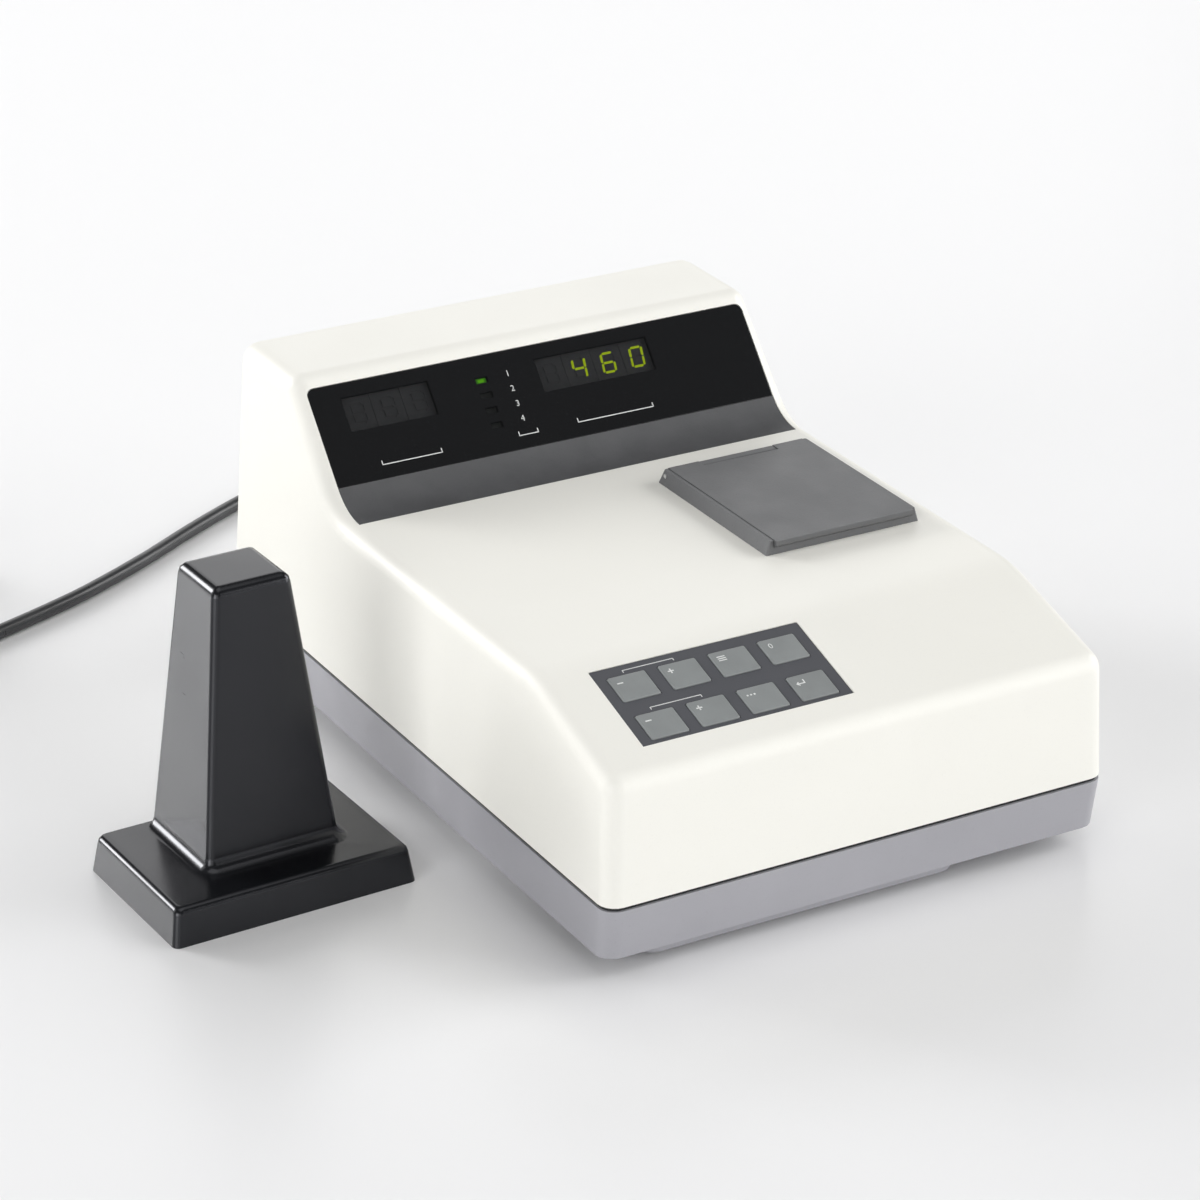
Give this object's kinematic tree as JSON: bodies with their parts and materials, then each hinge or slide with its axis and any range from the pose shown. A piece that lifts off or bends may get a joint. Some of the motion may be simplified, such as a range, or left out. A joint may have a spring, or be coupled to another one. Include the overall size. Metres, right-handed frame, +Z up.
{
  "type": "visible spectrophotometer",
  "caption": "Bench spectrophotometer with a sloping keypad, a raised digital display, a hinged sample compartment lid and a tall loose hood standing beside it.",
  "frame": {"origin": "on the bench, under the middle of the case and the hood together, the lead left out", "axes": "+Z up, +X to the right along the front, +Y to the back"},
  "size_m": [0.5163, 0.594, 0.1815],
  "materials": {
    "cover_cream": "moulded, fine satin, warm cream",
    "tray_grey": "fine texture, cool mid grey",
    "seal_black": "dull black",
    "screw_steel": "bright zinc",
    "window_black": "polished smoked black",
    "band_grey": "fine texture, dark grey",
    "slate_grey": "fine texture, slate grey",
    "digit_face": "dark module face",
    "lamp_green": "dim green lens",
    "label_slate": "printed film",
    "key_grey": "satin grey-green",
    "circuit_green": "solder mask",
    "well_black": "matt black",
    "spring_steel": "bright",
    "bench_cast": "cast, dull",
    "sheet_metal": "folded sheet",
    "lamp_glass": "clear bulb on a pale holder",
    "lens_glass": "polished",
    "black_metal": "matt black paint",
    "motor_grey": "dull grey",
    "mirror_face": "front silvered",
    "grating_blue": "ruled, faintly blue",
    "pinion_brass": "machined",
    "core_steel": "varnished laminations and tape",
    "inlet_black": "moulded black",
    "hood_black": "vacuum-formed, glossy black",
    "lead_black": "satin black sheath",
    "tie_black": "woven strap"
  },
  "bodies": {
    "case": {"top_cover": "cover_cream", "base_tray": "tray_grey", "seam_seal": "seal_black", "rubber_feet": "seal_black", "cover_screws": "screw_steel", "display_window": "window_black", "display_band": "band_grey", "display_board": "circuit_green", "wavelength_digits": "digit_face", "reading_digits": "digit_face", "mode_lamps": "lamp_green", "keypad_label": "label_slate", "keypad_board": "circuit_green", "compartment_frame": "slate_grey", "lid_pin": "screw_steel", "sample_well": "well_black", "cell_holder": "well_black", "cell_spring": "spring_steel", "detector_housing": "well_black", "photodiode": "spring_steel", "optical_bench": "bench_cast", "lamp_house": "sheet_metal", "lamp": "lamp_glass", "condenser_lens": "lens_glass", "filter_motor": "motor_grey", "entrance_slit": "black_metal", "fold_mirror": "mirror_face", "mirror_mount": "black_metal", "collimator_mirror": "mirror_face", "turret_post": "screw_steel", "grating_motor": "motor_grey", "exit_slit": "black_metal", "exit_lens": "lens_glass", "main_board": "circuit_green", "board_posts": "screw_steel", "transformer": "core_steel", "rear_panel": "sheet_metal", "mains_inlet": "inlet_black", "switch_body": "inlet_black", "cord_connector": "lead_black", "power_cord": "lead_black", "cord_coil": "lead_black", "cord_tail": "lead_black", "coil_tie": "tie_black", "mains_plug": "lead_black"},
    "lid": {"sample_lid": "slate_grey"},
    "rocker": {"power_rocker": "inlet_black"},
    "hood": {"tall_hood": "hood_black"},
    "turret": {"grating_turret": "bench_cast", "grating": "grating_blue"},
    "pinion": {"motor_pinion": "pinion_brass"},
    "filters": {"filter_wheel": "black_metal"},
    "key_1_body": {"key_1": "key_grey"},
    "key_2_body": {"key_2": "key_grey"},
    "key_3_body": {"key_3": "key_grey"},
    "key_4_body": {"key_4": "key_grey"},
    "key_5_body": {"key_5": "key_grey"},
    "key_6_body": {"key_6": "key_grey"},
    "key_7_body": {"key_7": "key_grey"},
    "key_8_body": {"key_8": "key_grey"}
  },
  "joints": [
    {"name": "lid_hinge", "type": "hinge", "parent": "case", "child": "lid", "pos_m": [0.1553, 0.0365, 0.1288], "axis": [-1, 0, 0], "range_deg": [0, 95]},
    {"name": "key_1_press", "type": "slide", "parent": "case", "child": "key_1_body", "axis": [0, 0.2874, -0.9578], "range_m": [0, 0.0005], "stiffness_N_per_m": 400, "springref_m": -0.0005},
    {"name": "key_2_press", "type": "slide", "parent": "case", "child": "key_2_body", "axis": [0, 0.2874, -0.9578], "range_m": [0, 0.0005], "stiffness_N_per_m": 400, "springref_m": -0.0005},
    {"name": "key_3_press", "type": "slide", "parent": "case", "child": "key_3_body", "axis": [0, 0.2874, -0.9578], "range_m": [0, 0.0005], "stiffness_N_per_m": 400, "springref_m": -0.0005},
    {"name": "key_4_press", "type": "slide", "parent": "case", "child": "key_4_body", "axis": [0, 0.2874, -0.9578], "range_m": [0, 0.0005], "stiffness_N_per_m": 400, "springref_m": -0.0005},
    {"name": "key_5_press", "type": "slide", "parent": "case", "child": "key_5_body", "axis": [0, 0.2874, -0.9578], "range_m": [0, 0.0005], "stiffness_N_per_m": 400, "springref_m": -0.0005},
    {"name": "key_6_press", "type": "slide", "parent": "case", "child": "key_6_body", "axis": [0, 0.2874, -0.9578], "range_m": [0, 0.0005], "stiffness_N_per_m": 400, "springref_m": -0.0005},
    {"name": "key_7_press", "type": "slide", "parent": "case", "child": "key_7_body", "axis": [0, 0.2874, -0.9578], "range_m": [0, 0.0005], "stiffness_N_per_m": 400, "springref_m": -0.0005},
    {"name": "key_8_press", "type": "slide", "parent": "case", "child": "key_8_body", "axis": [0, 0.2874, -0.9578], "range_m": [0, 0.0005], "stiffness_N_per_m": 400, "springref_m": -0.0005},
    {"name": "rocker_tip", "type": "hinge", "parent": "case", "child": "rocker", "pos_m": [0.1033, 0.19417, 0.06558], "axis": [1, 0, 0], "range_deg": [0, 18]},
    {"name": "hood_lift", "type": "slide", "parent": "case", "child": "hood", "axis": [0, 0, 1], "range_m": [0, 0.2]},
    {"name": "turret_turn", "type": "hinge", "parent": "case", "child": "turret", "pos_m": [0.0853, -0.0504, 0.034], "axis": [0, 0, 1], "range_deg": [-12, 12]},
    {"name": "pinion_turn", "type": "hinge", "parent": "case", "child": "pinion", "pos_m": [0.0853, -0.0924, 0.034], "axis": [0, 0, 1], "range_deg": [-90, 90]},
    {"name": "filter_turn", "type": "hinge", "parent": "case", "child": "filters", "pos_m": [0.1028, 0.0595, 0.0722], "axis": [0, 1, 0], "continuous": true}
  ],
  "couplings": [
    {"joint": "pinion_turn", "follows": "turret_turn", "ratio": -6}
  ]
}
